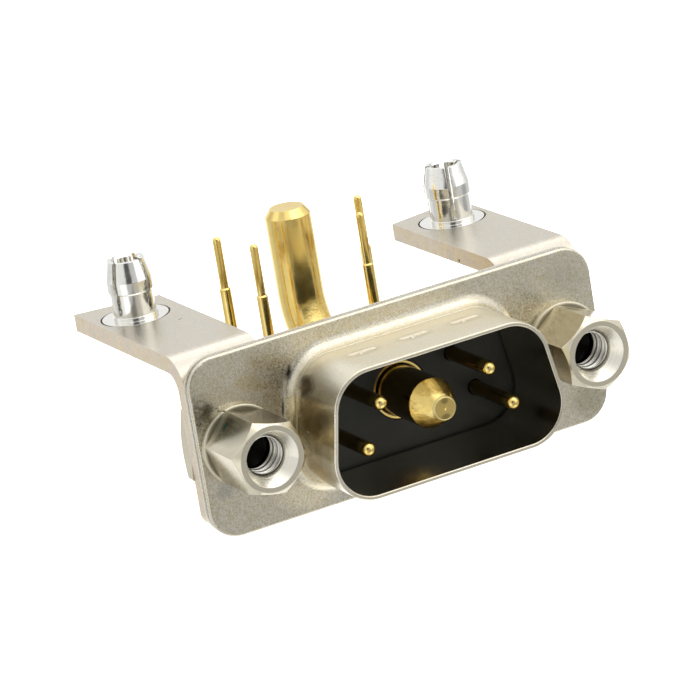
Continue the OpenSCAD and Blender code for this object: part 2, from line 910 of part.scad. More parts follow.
// hexagon with a bevelled front end, hole and stud; local Z forward from the flange's front face
module jackscrew(side, turn) {
    sink_end = hex_front - sink_depth;
    thread_end = sink_end - thread_depth;
    color(nickel)
        at_face()
            translate([side * hole_x, 0, 0])
                rotate([0, 0, turn])
                    difference() {
                        union() {
                            intersection() {
                                translate([0, 0, washer_t])
                                    cylinder(h = hex_length, d = hex_corners, $fn = 6);
                                rotate_extrude()
                                    polygon([
                                        [0, 0],
                                        [hex_corners / 2, 0],
                                        [hex_corners / 2, hex_front - hex_bevel],
                                        [hex_face / 2, hex_front],
                                        [0, hex_front]
                                    ]);
                            }
                            translate([0, 0, -stud_end])
                                cylinder(h = stud_bevel, d1 = stud_tip, d2 = stud_diameter);
                            translate([0, 0, stud_bevel - stud_end])
                                cylinder(h = stud_end - stud_bevel + washer_t + joint, d = stud_diameter);
                        }
                        translate([0, 0, thread_end])
                            cylinder(h = hex_front, d = thread_diameter);
                        translate([0, 0, sink_end])
                            cylinder(h = sink_depth, d1 = thread_diameter, d2 = sink_diameter);
                        translate([0, 0, thread_end - drill_tip])
                            cylinder(h = drill_tip, r1 = 0, d2 = thread_diameter);
                    }
}

module jackscrew_left() {
    jackscrew(-1, hex_turn_left);
}

module jackscrew_right() {
    jackscrew(1, hex_turn_right);
}

// split spring washer, pressed flat
module lock_washer(side, turn) {
    color(nickel)
        at_face()
            translate([side * hole_x, 0, 0])
                rotate([0, 0, turn])
                    difference() {
                        rotate_extrude()
                            difference() {
                                translate([washer_bore / 2, 0])
                                    square([(washer_diameter - washer_bore) / 2, washer_t]);
                                translate([washer_diameter / 2, washer_t])
                                    round_off(washer_edge, -1, -1);
                            }
                        translate([0, 0, washer_t / 2])
                            rotate([washer_slit_lean, 0, 0])
                                translate([0, -washer_slit / 2, -washer_diameter / 2])
                                    cube([washer_diameter, washer_slit, washer_diameter]);
                    }
}

module lock_washer_left() {
    lock_washer(-1, washer_turn_left);
}

module lock_washer_right() {
    lock_washer(1, washer_turn_right);
}

// square nut behind the bracket leg, bevelled on its rear face
module nut(side) {
    color(nickel)
        at_depth()
            translate([side * hole_x, 0, leg_back])
                rotate([0, 0, nut_turn])
                    difference() {
                        intersection() {
                            translate([-nut_flats / 2, -nut_flats / 2, 0])
                                cube([nut_flats, nut_flats, nut_t]);
                            rotate_extrude()
                                polygon([
                                    [0, 0],
                                    [nut_blunt / 2, 0],
                                    [nut_blunt / 2, nut_t - nut_bevel],
                                    [nut_face / 2, nut_t],
                                    [0, nut_t]
                                ]);
                        }
                        translate([0, 0, -over])
                            cylinder(h = nut_t + 2 * over, d = nut_bore);
                    }
}

module nut_left() {
    nut(-1);
}

module nut_right() {
    nut(1);
}

front_shell();
rear_shell();
front_insulator();
rear_insulator();
power_contact();
retaining_clip();
signal_upper_left();
signal_upper_right();
signal_lower_left();
signal_lower_right();
bracket_left();
bracket_right();
board_lock_left();
board_lock_right();
jackscrew_left();
jackscrew_right();
lock_washer_left();
lock_washer_right();
nut_left();
nut_right();
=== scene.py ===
import json
import math

import bmesh
import bpy
from mathutils import Matrix, Vector


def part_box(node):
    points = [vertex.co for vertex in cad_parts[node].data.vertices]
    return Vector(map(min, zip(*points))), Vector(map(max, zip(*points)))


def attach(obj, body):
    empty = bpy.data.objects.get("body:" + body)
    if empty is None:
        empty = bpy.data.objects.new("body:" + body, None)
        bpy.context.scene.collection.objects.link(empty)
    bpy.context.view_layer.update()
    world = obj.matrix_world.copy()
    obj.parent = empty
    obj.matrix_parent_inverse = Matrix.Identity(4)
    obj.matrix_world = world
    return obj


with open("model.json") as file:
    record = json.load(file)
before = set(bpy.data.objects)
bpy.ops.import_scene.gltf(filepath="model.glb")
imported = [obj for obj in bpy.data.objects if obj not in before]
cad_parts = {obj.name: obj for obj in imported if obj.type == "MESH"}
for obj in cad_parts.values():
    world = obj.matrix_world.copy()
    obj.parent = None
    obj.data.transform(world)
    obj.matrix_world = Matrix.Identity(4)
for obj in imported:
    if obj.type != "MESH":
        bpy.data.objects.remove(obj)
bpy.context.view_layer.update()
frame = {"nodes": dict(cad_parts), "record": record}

# Sizes are in millimetres and are brought to the frame's metres by this factor
MM = 0.001

mounts = {mount["name"]: mount for mount in frame["record"]["mounts"]}
SCREW_HOLE = Vector(mounts["jackscrew_right"]["pos_m"]) / MM
SCREW_RADIUS = mounts["jackscrew_right"]["dims"]["r_mm"]
SCREW_DEPTH = mounts["jackscrew_right"]["dims"]["length_mm"]
FRONT_SHELL = tuple(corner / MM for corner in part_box("front_shell"))
JACKSCREW = tuple(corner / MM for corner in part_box("jackscrew_right"))
NUT = tuple(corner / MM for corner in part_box("nut_right"))
WASHER = tuple(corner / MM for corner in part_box("lock_washer_right"))

# The height of the axis that the skirt, the jackscrews and the power pin share
AXIS_Z = SCREW_HOLE.z

# Depths along Y: the mating side looks along -Y, so what lies further forward has the smaller depth
RIM = FRONT_SHELL[0].y
FLANGE_BACK = FRONT_SHELL[1].y
# the flange's front face, where the lock washers rest
FLANGE_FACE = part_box("lock_washer_left")[1].y / MM
WASHER_FACE = WASHER[0].y
HEX_FACE = JACKSCREW[0].y
STUD_END = JACKSCREW[1].y
NUT_BACK = NUT[1].y
INSULATOR_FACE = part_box("front_insulator")[0].y / MM
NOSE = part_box("power_contact")[0].y / MM
# the threaded hole starts behind the countersink and has a flat bottom
SINK_END = SCREW_HOLE.y - SCREW_DEPTH / 2
HOLE_END = SCREW_HOLE.y + SCREW_DEPTH / 2

# The gap between the two shells' flanges
SHELL_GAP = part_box("rear_shell")[0].y / MM - FLANGE_BACK
WASHER_RADIUS = (WASHER[1].x - WASHER[0].x) / 2
# Radii of the countersink's mouth and of the hole thread's crests
SINK_RADIUS = 1.9
HOLE_CREST = 1.26


# Finishes

# A grain mostly runs between these values
GRAIN_LOW = 0.3
GRAIN_MIDDLE = 0.5
GRAIN_HIGH = 0.7
# A smudge starts and is full at these values of its ragged spot
SMUDGE_START = 0.2
SMUDGE_FULL = 0.65
# Rays that feel for a sharp edge, and the cosines of its turn where the edge's mask starts and is full
EDGE_SAMPLES = 6
EDGE_START = 0.99
EDGE_FULL = 0.9
UNTURNED = (0, 0, 0)


class Finish:
    """A metal or plastic finish that is drawn on the piece's own place, in millimetres."""

    def __init__(self, name, uniform):
        self.material = bpy.data.materials.new(name)
        self.material.use_nodes = True
        self.tree = self.material.node_tree
        self.shader = self.tree.nodes["Principled BSDF"]
        self.feed(self.shader, uniform)
        coordinates = self.node("ShaderNodeTexCoord").outputs
        inputs = {"Vector": coordinates["Object"], "Scale": (1 / MM,) * 3}
        self.place = self.node("ShaderNodeMapping", inputs).outputs["Vector"]
        self.facing = coordinates["Normal"]
        self.normal = None
        self.edge = None

    def feed(self, node, inputs):
        for name, value in inputs.items():
            socket = node.inputs[name]
            if isinstance(value, bpy.types.NodeSocket):
                self.tree.links.new(value, socket)
            else:
                socket.default_value = value

    def node(self, kind, inputs=None, **settings):
        made = self.tree.nodes.new(kind)
        for name, value in settings.items():
            setattr(made, name, value)
        self.feed(made, inputs or {})
        return made

    def turned_place(self, centre=(0, 0, 0), turn=UNTURNED, stretch=(1, 1, 1), place=None):
        """The place measured from a centre, turned and divided by a stretch."""
        inputs = {
            "Vector": place or self.place,
            "Location": centre,
            "Rotation": [math.radians(angle) for angle in turn],
            "Scale": stretch,
        }
        return self.node("ShaderNodeMapping", inputs, vector_type="TEXTURE").outputs["Vector"]

    def parts(self, vector=None):
        return self.node("ShaderNodeSeparateXYZ", {"Vector": vector or self.place}).outputs

    def joined(self, x=0.0, y=0.0, z=0.0):
        return self.node("ShaderNodeCombineXYZ", {"X": x, "Y": y, "Z": z}).outputs["Vector"]

    def from_axis(self, across, rise):
        """The distance from an axis, by two offsets square to it."""
        offset = self.joined(across, rise)
        return self.node("ShaderNodeVectorMath", {0: offset}, operation="LENGTH").outputs["Value"]

    def dot(self, a, b):
        return self.node("ShaderNodeVectorMath", {0: a, 1: b}, operation="DOT_PRODUCT").outputs["Value"]

    def calc(self, operation, a, b=0.0):
        made = self.node("ShaderNodeMath", operation=operation)
        self.feed(made, {0: a, 1: b})
        return made.outputs[0]

    def times(self, first, *others):
        for other in others:
            first = self.calc("MULTIPLY", first, other)
        return first

    def plus(self, first, *others):
        for other in others:
            first = self.calc("ADD", first, other)
        return first

    def less(self, a, b):
        return self.calc("SUBTRACT", a, b)

    def size(self, value):
        """The value without its sign."""
        return self.calc("ABSOLUTE", value)

    def fade(self, value, start, end, low=0.0, high=1.0):
        """Goes from low to high while the value goes from start to end."""
        inputs = {"Value": value, "From Min": start, "From Max": end, "To Min": low, "To Max": high}
        return self.node("ShaderNodeMapRange", inputs).outputs["Result"]

    def grain(self, fineness, detail=3.0, rough=0.5, stretch=(1, 1, 1), place=None, swirl=0.0):
        """Cloudy noise with that many cells to the millimetre, long along the axes that are stretched."""
        inputs = {
            "Vector": self.turned_place(stretch=stretch, place=place),
            "Scale": fineness,
            "Detail": detail,
            "Roughness": rough,
            "Distortion": swirl,
        }
        return self.node("ShaderNodeTexNoise", inputs).outputs["Fac"]

    def spread(self, grain, low, high):
        """Goes from low to high over the usual run of a grain."""
        return self.fade(grain, GRAIN_LOW, GRAIN_HIGH, low, high)

    def spot(self, centre, reach, turn=UNTURNED):
        """1 at the centre, falling to 0 at the reach along each axis."""
        inputs = {"Vector": self.turned_place(centre, turn, reach)}
        return self.node("ShaderNodeTexGradient", inputs, gradient_type="SPHERICAL").outputs["Fac"]

    def smudge(self, centre, reach, turn=UNTURNED, ragged=0.6, fineness=1.8):
        """A spot with a ragged edge."""
        cloud = self.times(self.less(self.grain(fineness, detail=4, rough=0.6), GRAIN_MIDDLE), ragged)
        return self.fade(self.plus(self.spot(centre, reach, turn), cloud), SMUDGE_START, SMUDGE_FULL)

    def ramp(self, factor, *stops):
        """A run of tones: each stop is a place with a grey or a colour."""
        made = self.node("ShaderNodeValToRGB", {"Fac": factor})
        marks = made.color_ramp.elements
        while len(marks) < len(stops):
            marks.new(1.0)
        for mark, (place, tone) in zip(marks, stops):
            mark.position = place
            mark.color = (tone, tone, tone, 1) if isinstance(tone, (int, float)) else (*tone, 1)
        return made.outputs["Color"]

    def blend(self, factor, a, b, way="MIX"):
        """Mixes two colours, each a socket or three numbers."""
        made = self.node("ShaderNodeMix", data_type="RGBA", blend_type=way)
        a, b = ((*colour, 1) if isinstance(colour, tuple) else colour for colour in (a, b))
        self.feed(made, {0: factor, 6: a, 7: b})
        return made.outputs[2]

    def between(self, factor, a, b):
        """Mixes two values."""
        made = self.node("ShaderNodeMix", data_type="FLOAT")
        self.feed(made, {0: factor, 2: a, 3: b})
        return made.outputs[0]

    def round_edges(self, radius):
        """Softens the shading of sharp edges; edge is 1 along them."""
        inputs = {"Radius": radius * MM}
        self.normal = self.node("ShaderNodeBevel", inputs, samples=EDGE_SAMPLES).outputs["Normal"]
        plain = self.node("ShaderNodeNewGeometry").outputs["Normal"]
        self.edge = self.fade(self.dot(self.normal, plain), EDGE_START, EDGE_FULL)

    def emboss(self, height, depth, strength=1.0):
        inputs = {"Height": height, "Distance": depth * MM, "Strength": strength}
        if self.normal:
            inputs["Normal"] = self.normal
        self.normal = self.node("ShaderNodeBump", inputs).outputs["Normal"]

    def finish(self, colour, roughness):
        self.feed(self.shader, {"Base Color": colour, "Roughness": roughness})
        if self.normal:
            self.feed(self.shader, {"Normal": self.normal})
        return self.material


# Nickel on the shells: tones over the clouds of the plating, its sand and its speckle
SHELL_TONES = ((0.32, (0.69, 0.65, 0.53)), (0.5, (0.72, 0.665, 0.53)), (0.68, (0.71, 0.675, 0.57)))
SHELL_SAND = ((0.34, 0.28), (0.5, 0.49), (0.66, 0.70))
SHELL_SPECKLE = ((0.36, 0.22), (0.5, 0.5), (0.64, 0.72))
# how strong the sand and the speckle are on the flange and on the skirt
SAND_SHARES = (0.5, 0.25)
SPECKLE_SHARES = (0.65, 0.4)
# how much of the sand's and speckle's relief is left on the flange, on the skirt and inside it
FLANGE_RELIEF = 1.0
SKIRT_RELIEF = 0.22
INSIDE_RELIEF = 0.02
# how much of the drawn lines' relief shows
LINES_RELIEF = 0.15
# the skirt's finish starts and is full at these distances in front of the flange
DRAWN_START = 0.1
DRAWN_FULL = 0.9
# a face counts as the inside by its direction times its distance from the axis
INSIDE_START = -0.3
INSIDE_FULL = -1.5
# a face counts as the upper side by the rise of its direction, and is rougher by this much
UPPER_START = 0.2
UPPER_FULL = 0.8
UPPER_ROUGHER = 0.14
# painted shade in the seam between the flanges: clear and dark at these distances past the gap
SEAM_CLEAR = 0.12
SEAM_DARK = 0.04
SEAM_SHARE = 0.85
SEAM_SHADE_TONE = (0.05, 0.045, 0.035)
# painted highlight along the sharp edges: its tone, and its strength on the rim and the flange and behind
# the rim
SHELL_EDGE_HIGHLIGHT = (0.98, 0.95, 0.87)
SHELL_HIGHLIGHT_SHARES = (0.9, 0.2)
BEHIND_RIM_START = 0.5
BEHIND_RIM_FULL = 0.9
# Patches on the front shell, painted shade and painted light among them: centre, reach, turn, tone and
# strength
SHELL_PATCHES_AND_PAINTED_LIGHT = (
    # painted shade on the skirt's left side and in the crease at its root, a painted dark reflection at its
    # upper-left fillet, and painted light near its rim
    ((-7.8, -15.4, -3.3), (1.1, 1.5, 1.2), UNTURNED, (0.22, 0.18, 0.12), 0.95),
    ((-8.3, -16.6, -5.2), (1.4, 3.2, 3.2), UNTURNED, (0.44, 0.36, 0.23), 0.9),
    ((-8.7, -16.8, -8.9), (1.2, 3.0, 2.4), UNTURNED, (0.70, 0.57, 0.36), 0.9),
    ((-8.3, -19.7, -6.0), (1.6, 1.0, 5.5), UNTURNED, (1.36, 1.38, 1.46), 1.0),
    ((-8.11, -13.9, -2.55), (0.34, 0.9, 0.95), (0, 25, 0), (0.05, 0.045, 0.03), 1.0),
    ((-8.95, -13.75, -4.9), (0.14, 0.5, 1.3), (0, 10, 0), (0.10, 0.09, 0.07), 0.9),
    # darker and tinted patches on the flange, with painted shade above the left hexagon and painted light
    # below the skirt's left side
    ((-9.5, FLANGE_FACE, -1.5), (2.4, 0.5, 1.0), (0, 12, 0), (0.90, 0.85, 0.74), 0.8),
    ((-10.9, FLANGE_FACE, -2.6), (1.6, 0.5, 1.0), (0, 20, 0), (0.86, 0.78, 0.54), 0.6),
    ((-14.4, FLANGE_FACE, -3.6), (0.7, 0.5, 1.1), (0, 15, 0), (0.30, 0.27, 0.20), 0.8),
    ((-14.0, FLANGE_FACE, -9.1), (1.4, 0.5, 0.9), (0, -20, 0), (0.70, 0.73, 0.80), 0.7),
    ((13.2, FLANGE_FACE, -2.2), (2.4, 0.5, 2.0), UNTURNED, (0.80, 0.81, 0.77), 0.6),
    ((13.9, FLANGE_FACE, -10.9), (2.4, 0.5, 2.0), UNTURNED, (0.72, 0.72, 0.66), 0.9),
    ((-8.2, FLANGE_FACE, -11.2), (3.4, 0.5, 1.6), (0, 10, 0), (1.34, 1.29, 1.18), 1.0),
)
# Indents in the skirt: their spacing, distance from the flange, height and reach, and the painted shade and
# added roughness in them
INDENT_SPACING = 3.9
INDENT_REACH = 2.9
INDENT_TOP = -1.75
INDENT_SIZE = (1.6, 0.9, 1.0)
INDENT_FULL = 0.4
INDENT_SHADE_TONE = (0.84, 0.82, 0.78)
INDENT_ROUGHER = 0.08
# Bright nicks in the plating
SHELL_NICKS = ((-8.5, -15.95, -6.15), (-8.68, -15.22, -7.14), (-13.4, FLANGE_FACE, -3.43))
NICK_SIZE = (0.11, 0.3, 0.09)
NICK_START = 0.3
NICK_FULL = 0.5
NICK_TONE = (1.0, 0.98, 0.92)


def shell_nickel():
    """Satin nickel on drawn sheet: sandy on the flange, smoother on the drawn skirt, smoothest inside it."""
    made = Finish("shell_nickel", {"Metallic": 1.0})
    made.round_edges(0.05)
    place = made.parts()
    drawn = made.fade(place["Y"], FLANGE_FACE - DRAWN_START, FLANGE_FACE - DRAWN_FULL)
    seam_reach = made.size(made.less(place["Y"], FLANGE_BACK + SHELL_GAP / 2))
    seam = made.fade(seam_reach, SHELL_GAP / 2 + SEAM_CLEAR, SHELL_GAP / 2 + SEAM_DARK)
    outward = made.joined(place["X"], 0.0, made.less(place["Z"], AXIS_Z))
    inside = made.fade(made.dot(made.facing, outward), INSIDE_START, INSIDE_FULL)
    upper = made.fade(made.parts(made.facing)["Z"], UPPER_START, UPPER_FULL)
    behind_rim = made.fade(place["Y"], RIM + BEHIND_RIM_START, RIM + BEHIND_RIM_FULL)
    sand = made.grain(6, detail=4, rough=0.65)
    fine = made.grain(14, detail=3, rough=0.6)
    drawn_lines = made.grain(2.2, detail=4, rough=0.6, stretch=(1, 6, 1))
    clouds = made.grain(0.3, detail=4, rough=0.55)

    tone = made.ramp(clouds, *SHELL_TONES)
    tone = made.blend(made.between(drawn, *SAND_SHARES), tone, made.ramp(sand, *SHELL_SAND), "OVERLAY")
    tone = made.blend(made.between(drawn, *SPECKLE_SHARES), tone, made.ramp(fine, *SHELL_SPECKLE), "OVERLAY")
    # painted shade in the seam between the flanges
    tone = made.blend(made.times(seam, SEAM_SHARE), tone, SEAM_SHADE_TONE)
    # tinted patches, painted shade and painted light on the front shell
    for centre, reach, turn, shell_mark_tone, strength in SHELL_PATCHES_AND_PAINTED_LIGHT:
        tone = made.blend(made.times(made.smudge(centre, reach, turn), strength), tone, shell_mark_tone, "MULTIPLY")
    hollow = 0.0
    for step in (-1, 0, 1):
        centre = (step * INDENT_SPACING, FLANGE_FACE - INDENT_REACH, INDENT_TOP)
        indent = made.fade(made.spot(centre, INDENT_SIZE), 0.0, INDENT_FULL)
        hollow = made.calc("MAXIMUM", hollow, indent)
    # painted shade in the indents
    tone = made.blend(hollow, tone, INDENT_SHADE_TONE, "MULTIPLY")
    for centre in SHELL_NICKS:
        nick = made.fade(made.spot(centre, NICK_SIZE), NICK_START, NICK_FULL)
        tone = made.blend(nick, tone, NICK_TONE)
    # painted highlight along the sharp edges
    edge_highlight_share = made.between(made.times(drawn, behind_rim), *SHELL_HIGHLIGHT_SHARES)
    tone = made.blend(made.times(made.edge, edge_highlight_share), tone, SHELL_EDGE_HIGHLIGHT)

    rough = made.plus(made.spread(sand, 0.22, 0.36), made.spread(fine, -0.03, 0.03))
    smooth = made.plus(made.spread(drawn_lines, 0.17, 0.23), made.times(upper, UPPER_ROUGHER))
    smooth = made.plus(smooth, made.times(hollow, INDENT_ROUGHER))
    rough = made.between(drawn, rough, smooth)
    rough = made.between(inside, rough, made.spread(clouds, 0.17, 0.22))
    relief = made.between(inside, made.between(drawn, FLANGE_RELIEF, SKIRT_RELIEF), INSIDE_RELIEF)
    made.emboss(sand, 0.014, relief)
    made.emboss(fine, 0.003, relief)
    made.emboss(drawn_lines, 0.006, made.times(drawn, LINES_RELIEF))
    return made.finish(tone, rough)


# Nickel on the brackets: tones over the tarnish of the faces and of the sheared edges, sand and speckle
BRACKET_TONES = (
    (0.32, (0.62, 0.57, 0.49)),
    (0.45, (0.63, 0.60, 0.52)),
    (0.56, (0.64, 0.585, 0.50)),
    (0.7, (0.61, 0.58, 0.48)),
)
SHEARED_TONES = (
    (0.34, (0.66, 0.60, 0.51)),
    (0.44, (0.72, 0.62, 0.50)),
    (0.54, (0.74, 0.65, 0.48)),
    (0.66, (0.71, 0.60, 0.44)),
)
BRACKET_SAND = ((0.3, 0.38), (0.7, 0.62))
BRACKET_SAND_SHARE = 0.3
BRACKET_SPECKLE = ((0.34, 0.36), (0.66, 0.62))
BRACKET_SPECKLE_SHARE = 0.5
# a face counts as a sheared edge by how far its direction goes sideways
SHEARED_START = 0.5
SHEARED_FULL = 0.9
# painted highlight along the sharp edges: its tone and strength
BRACKET_EDGE_HIGHLIGHT = (0.86, 0.83, 0.75)
BRACKET_HIGHLIGHT_SHARE = 0.4
# Dark marks on the brackets, a dot and a dash: centre, reach, turn, and where the mark is full
BRACKET_MARKS = (
    ((9.25, -6.51, -0.96), (0.4, 0.17, 0.17), UNTURNED, 0.5),
    ((-10.88, -3.72, 0), (0.28, 0.09, 0.2), (0, 0, 20), 0.6),
)
BRACKET_MARK_START = 0.2
BRACKET_MARK_TONE = (0.05, 0.04, 0.03)


def bracket_nickel():
    """Plated bent sheet, rolled across the feet, with warmer sheared edges."""
    made = Finish("bracket_nickel", {"Metallic": 1.0})
    made.round_edges(0.09)
    sideways = made.size(made.parts(made.facing)["X"])
    sheared = made.fade(sideways, SHEARED_START, SHEARED_FULL)
    roll = made.grain(7, detail=3, rough=0.55, stretch=(1, 7, 7))
    sand = made.grain(3.4, detail=4, rough=0.62)
    fine = made.grain(8, detail=3, rough=0.6)
    shear_lines = made.grain(6, detail=3, rough=0.6, stretch=(1, 1, 5))
    tarnish = made.grain(0.9, detail=3, rough=0.55)

    tone = made.blend(sheared, made.ramp(tarnish, *BRACKET_TONES), made.ramp(tarnish, *SHEARED_TONES))
    tone = made.blend(BRACKET_SAND_SHARE, tone, made.ramp(sand, *BRACKET_SAND), "OVERLAY")
    tone = made.blend(BRACKET_SPECKLE_SHARE, tone, made.ramp(fine, *BRACKET_SPECKLE), "OVERLAY")
    marked = 0.0
    for centre, reach, turn, full in BRACKET_MARKS:
        mark = made.fade(made.spot(centre, reach, turn), BRACKET_MARK_START, full)
        marked = made.calc("MAXIMUM", marked, mark)
    tone = made.blend(marked, tone, BRACKET_MARK_TONE)
    # painted highlight along the sharp edges
    tone = made.blend(made.times(made.edge, BRACKET_HIGHLIGHT_SHARE), tone, BRACKET_EDGE_HIGHLIGHT)

    rough = made.plus(made.spread(roll, 0.29, 0.36), made.spread(sand, -0.03, 0.05))
    rough = made.between(sheared, rough, made.spread(shear_lines, 0.26, 0.42))
    made.emboss(sand, 0.0035)
    made.emboss(fine, 0.003)
    made.emboss(roll, 0.0015)
    made.emboss(shear_lines, 0.008, sheared)
    return made.finish(tone, rough)


# Nickel on the hardware: tones over the clouds of the plating, and its sand
HARDWARE_TONES = ((0.3, (0.68, 0.63, 0.485)), (0.7, (0.72, 0.67, 0.53)))
HARDWARE_SAND = ((0.34, 0.42), (0.66, 0.58))
HARDWARE_SAND_SHARE = 0.2
# painted highlight along the sharp edges: its tone and strength
HARDWARE_EDGE_HIGHLIGHT = (0.93, 0.89, 0.78)
HARDWARE_HIGHLIGHT_SHARE = 0.7
# the jackscrew in front of the flange starts and is full at these distances from the flange
AHEAD_START = 0.1
AHEAD_FULL = 0.3
# Marks on the jackscrews: centre, reach, turn and tone
SCREW_MARKS = (
    ((-13.96, -15.12, -4.37), (0.4, 0.18, 0.34), (0, 0, 20), (0.04, 0.55, 0.50)),
    ((-13.62, -18.13, -7.67), (0.12, 0.2, 0.11), UNTURNED, (0.03, 0.09, 0.04)),
    ((-13.24, -18.15, -7.92), (0.11, 0.2, 0.09), UNTURNED, (0.05, 0.09, 0.04)),
    ((13.43, -18.2, -7.78), (0.35, 0.3, 0.2), (0, 30, 0), (0.08, 0.07, 0.05)),
    ((-12.22, -15.73, -3.9), (0.09, 0.09, 0.3), UNTURNED, (1.0, 0.97, 0.9)),
)
SCREW_MARK_START = 0.15
SCREW_MARK_FULL = 0.5
# Painted shade and painted light on single facets of the hexagons: side, the facet's direction and tone, and
# how near a face has to lie to it
SCREW_FACET_SHADING = (
    (-1, (0.24, 0, 0.97), (0.32, 0.29, 0.23)),
    (1, (-0.99, 0, -0.13), (0.46, 0.43, 0.39)),
    (1, (-0.61, 0, 0.79), (1.30, 1.26, 1.16)),
)
FACET_START = 0.96
FACET_FULL = 0.99
# Painted shade on the left hexagon
SCREW_SHADE_CENTRE = (-13.9, -15.6, -4.4)
SCREW_SHADE_SIZE = (1.3, 3.2, 1.3)
SCREW_SHADE_FULL = 0.6
SCREW_SHADE_TONE = (0.59, 0.61, 0.60)
# Painted shade on the hole's wall in its depth: clear and dark at these distances from the wall and from the
# bottom
BORE_CLEAR = 0.08
BORE_DARK = 0.02
DEPTH_CLEAR = 1.05
DEPTH_DARK = 0.45
BORE_SHADE_TONE = (0.012, 0.012, 0.010)
# Painted shade as a dark line beside the washer: its distances in front of the washer's face and inside its
# brim
GAP_CLEAR = 0.04
GAP_DARK = 0.01
BRIM_CLEAR = 0.12
BRIM_DARK = 0.22
GAP_SHARE = 0.8
GAP_SHADE_TONE = (0.20, 0.175, 0.125)
# The hexagon grows rougher towards the washer, from the first distance to the second
FOOT_START = 0.9
FOOT_FULL = 0.1
FOOT_ROUGHER = 0.32
# The countersink's painted highlight, a brighter tone, ends behind the thread's start: clear and full at
# these distances, and a soft border
SINK_CLEAR = 0.35
SINK_FULL = 0.25
SINK_BORDER = 0.02
SINK_HIGHLIGHT_TONES = ((0.35, (0.85, 0.81, 0.69)), (0.65, (0.91, 0.88, 0.78)))
# slope of the forward flanks of the turning marks there
SINK_FLANK = 0.32
# The hole thread's crests, with a painted highlight, by distance from their radius and from the bottom, and
# the slope of their marks
CREST_CLEAR = 0.06
CREST_FULL = 0.03
CREST_DARK = 0.6
CREST_LIT = 1.0
CREST_HIGHLIGHT_TONES = ((0.35, (0.88, 0.85, 0.78)), (0.65, (0.95, 0.93, 0.87)))
CREST_FLANK = 0.9


def hardware_nickel():
    """Turned and plated steel: fine rings round the screw's axis, with painted shade and painted light on
    its facets, countersinks, thread crests and the depth of its hole.
    """
    made = Finish("hardware_nickel", {"Metallic": 1.0})
    made.round_edges(0.08)
    place = made.parts()
    across = made.less(made.size(place["X"]), SCREW_HOLE.x)
    radius = made.from_axis(across, made.less(place["Z"], AXIS_Z))
    ahead = made.fade(place["Y"], FLANGE_FACE - AHEAD_START, FLANGE_FACE - AHEAD_FULL)
    rings = made.grain(14, detail=2, rough=0.5, place=made.joined(radius, place["Y"]))
    sand = made.grain(2.6, detail=4, rough=0.6)
    clouds = made.grain(0.6, detail=3, rough=0.5)

    tone = made.ramp(clouds, *HARDWARE_TONES)
    tone = made.blend(HARDWARE_SAND_SHARE, tone, made.ramp(sand, *HARDWARE_SAND), "OVERLAY")
    for centre, reach, turn, mark_tone in SCREW_MARKS:
        mark = made.fade(made.spot(centre, reach, turn), SCREW_MARK_START, SCREW_MARK_FULL)
        tone = made.blend(mark, tone, mark_tone)
    # painted shade and painted light on single facets of the hexagons
    for side, facing, facet_shade in SCREW_FACET_SHADING:
        on_facet = made.fade(made.dot(made.facing, facing), FACET_START, FACET_FULL)
        on_side = made.calc("GREATER_THAN", made.times(place["X"], side), 0.0)
        tone = made.blend(made.times(on_facet, on_side, ahead), tone, facet_shade, "MULTIPLY")
    # painted shade on the left hexagon
    screw_shade = made.fade(made.spot(SCREW_SHADE_CENTRE, SCREW_SHADE_SIZE), 0.0, SCREW_SHADE_FULL)
    tone = made.blend(screw_shade, tone, SCREW_SHADE_TONE, "MULTIPLY")
    # painted highlight along the sharp edges
    tone = made.blend(made.times(made.edge, HARDWARE_HIGHLIGHT_SHARE), tone, HARDWARE_EDGE_HIGHLIGHT)
    # painted shade in the depth of the hole
    bored = made.fade(radius, SCREW_RADIUS + BORE_CLEAR, SCREW_RADIUS + BORE_DARK)
    deep = made.fade(place["Y"], HOLE_END - DEPTH_CLEAR, HOLE_END - DEPTH_DARK)
    tone = made.blend(made.times(deep, ahead, bored), tone, BORE_SHADE_TONE)
    # painted shade in the gap beside the washer
    beside = made.fade(place["Y"], WASHER_FACE - GAP_CLEAR, WASHER_FACE - GAP_DARK)
    under = made.fade(radius, WASHER_RADIUS - BRIM_CLEAR, WASHER_RADIUS - BRIM_DARK)
    tone = made.blend(made.times(ahead, beside, under, GAP_SHARE), tone, GAP_SHADE_TONE)

    rough = made.plus(made.spread(rings, 0.12, 0.19), made.spread(sand, -0.02, 0.04))
    foot = made.fade(place["Y"], WASHER_FACE - FOOT_START, WASHER_FACE - FOOT_FULL, high=FOOT_ROUGHER)
    rough = made.plus(rough, made.times(foot, ahead))
    front = made.fade(place["Y"], SINK_END + SINK_CLEAR, SINK_END + SINK_FULL)
    mouth = made.fade(radius, SINK_RADIUS + SINK_BORDER, SINK_RADIUS - SINK_BORDER)
    sunk = made.times(front, mouth)
    # painted highlight: a brighter tone in the countersink
    tone = made.blend(sunk, tone, made.ramp(rings, *SINK_HIGHLIGHT_TONES))
    rough = made.between(sunk, rough, made.spread(rings, 0.2, 0.28))
    inner = made.fade(radius, HOLE_CREST + CREST_CLEAR, HOLE_CREST + CREST_FULL)
    lit = made.fade(place["Y"], HOLE_END - CREST_DARK, HOLE_END - CREST_LIT)
    crest = made.times(inner, lit)
    # painted highlight on the thread's crests
    tone = made.blend(crest, tone, made.ramp(rings, *CREST_HIGHLIGHT_TONES))
    rough = made.between(crest, rough, made.spread(rings, 0.24, 0.32))
    made.emboss(rings, 0.0015)
    made.emboss(sand, 0.004)
    made.emboss(place["Y"], SINK_FLANK, sunk)
    made.emboss(place["Y"], CREST_FLANK, crest)
    return made.finish(tone, rough)


